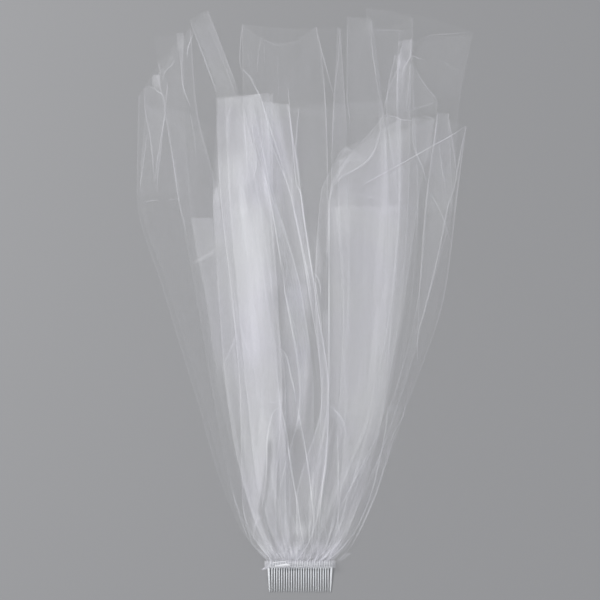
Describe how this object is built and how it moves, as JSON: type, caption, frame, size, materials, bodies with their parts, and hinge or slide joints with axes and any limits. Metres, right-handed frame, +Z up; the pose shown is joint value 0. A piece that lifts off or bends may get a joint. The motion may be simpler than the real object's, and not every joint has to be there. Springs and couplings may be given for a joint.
{
  "type": "bridal veil",
  "caption": "Two-tier sheer tulle bridal veil gathered onto a clear hair comb, laid flat on a table in soft lengthwise pleats.",
  "frame": {"origin": "middle of the comb's bar on its underside, which lies on the table", "axes": "+Y from the comb to the veil's hems, +X across the veil, +Z up off the table"},
  "size_m": [0.4135, 0.718, 0.0374],
  "materials": {
    "tulle": "sheer cool white net, soft sheen",
    "clear_plastic": "clear, glossy, moulded",
    "thread": "white sewing thread"
  },
  "bodies": {
    "root": {"comb": "clear_plastic", "heading": "tulle", "tier_lower": "tulle", "tier_upper": "tulle"}
  },
  "joints": []
}
